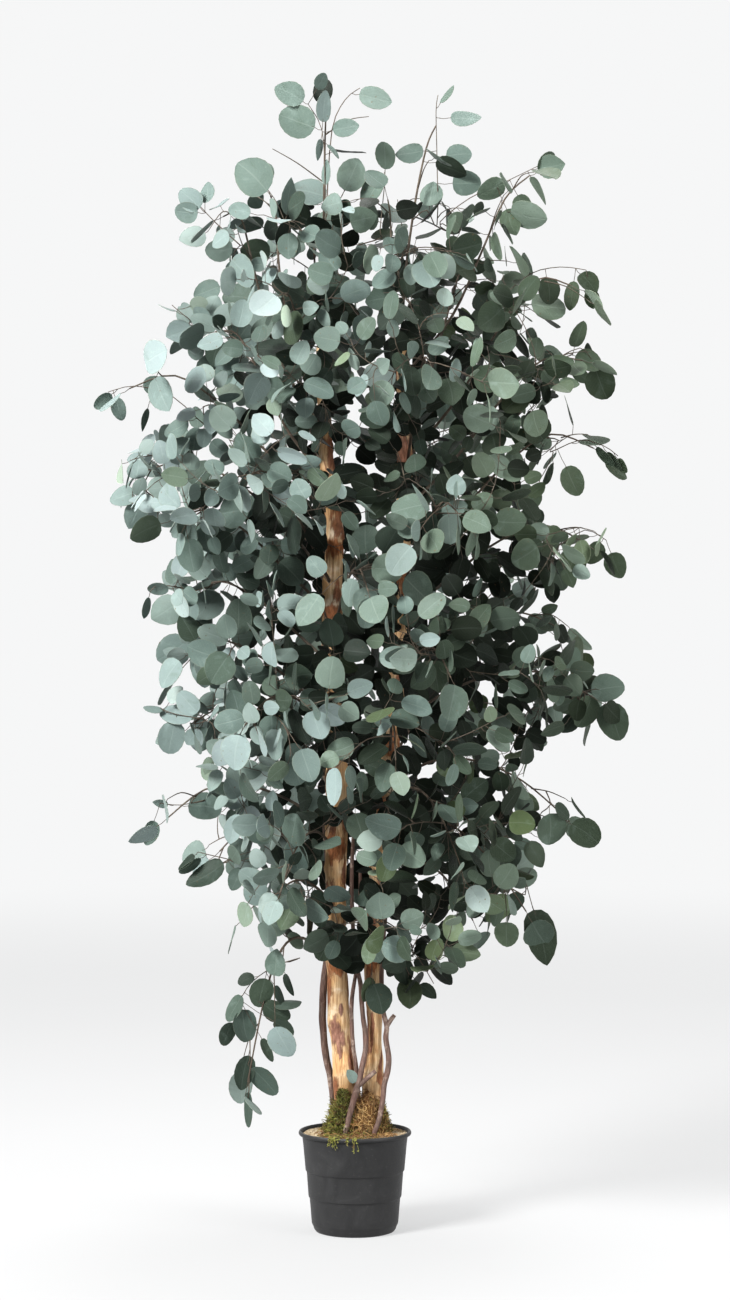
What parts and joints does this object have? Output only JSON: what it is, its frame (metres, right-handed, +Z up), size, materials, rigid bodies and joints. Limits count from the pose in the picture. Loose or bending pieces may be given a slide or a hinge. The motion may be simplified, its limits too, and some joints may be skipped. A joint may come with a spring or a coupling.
{
  "type": "potted eucalyptus tree",
  "caption": "Tall preserved eucalyptus tree: twin peeled trunks and climbing side stems in a filled black nursery pot, with leafy sprays of round grey-green leaves.",
  "frame": {"origin": "centre of the pot's flat underside", "axes": "+Z up along the trunks, the pictured front towards -Y, +X to the right seen from the front"},
  "size_m": [0.8175, 0.7091, 1.7867],
  "materials": {
    "black_plastic": "matte black, slightly scuffed",
    "pale_filling": "rough pale grit",
    "green_moss": "fibrous olive green",
    "golden_moss": "fibrous golden brown",
    "peeled_bark": "smooth peeled tan wood with rust and brown bark patches",
    "brown_bark": "rough reddish brown",
    "eucalyptus_foliage": "satin glaucous grey-green"
  },
  "bodies": {
    "root": {"pot": "black_plastic", "filling": "pale_filling", "moss_green": "green_moss", "moss_golden": "golden_moss", "trunk_left": "peeled_bark", "trunk_right": "peeled_bark", "side_stem_left": "brown_bark", "side_stem_slim": "brown_bark", "side_stem_forked": "brown_bark", "side_stem_right": "brown_bark", "spray_leader_left": "eucalyptus_foliage", "spray_leader_right": "eucalyptus_foliage", "spray_top_left": "eucalyptus_foliage", "spray_top_arch": "eucalyptus_foliage", "spray_top_back": "eucalyptus_foliage", "spray_top_right": "eucalyptus_foliage", "spray_top_middle": "eucalyptus_foliage", "spray_top_right_back": "eucalyptus_foliage", "spray_left_a": "eucalyptus_foliage", "spray_left_b": "eucalyptus_foliage", "spray_left_c": "eucalyptus_foliage", "spray_left_d": "eucalyptus_foliage", "spray_left_e": "eucalyptus_foliage", "spray_left_f": "eucalyptus_foliage", "spray_left_g": "eucalyptus_foliage", "spray_left_h": "eucalyptus_foliage", "spray_left_i": "eucalyptus_foliage", "spray_left_j": "eucalyptus_foliage", "spray_left_low": "eucalyptus_foliage", "spray_right_a": "eucalyptus_foliage", "spray_right_b": "eucalyptus_foliage", "spray_right_c": "eucalyptus_foliage", "spray_right_d": "eucalyptus_foliage", "spray_right_e": "eucalyptus_foliage", "spray_right_f": "eucalyptus_foliage", "spray_right_g": "eucalyptus_foliage", "spray_right_h": "eucalyptus_foliage", "spray_right_i": "eucalyptus_foliage", "spray_right_low": "eucalyptus_foliage", "spray_front_a": "eucalyptus_foliage", "spray_front_b": "eucalyptus_foliage", "spray_front_c": "eucalyptus_foliage", "spray_front_d": "eucalyptus_foliage", "spray_front_e": "eucalyptus_foliage", "spray_front_f": "eucalyptus_foliage", "spray_front_g": "eucalyptus_foliage", "spray_front_h": "eucalyptus_foliage", "spray_front_i": "eucalyptus_foliage", "spray_front_j": "eucalyptus_foliage", "spray_back_a": "eucalyptus_foliage", "spray_back_b": "eucalyptus_foliage", "spray_back_c": "eucalyptus_foliage", "spray_back_d": "eucalyptus_foliage", "spray_back_e": "eucalyptus_foliage", "spray_back_f": "eucalyptus_foliage", "spray_back_g": "eucalyptus_foliage"}
  },
  "joints": []
}
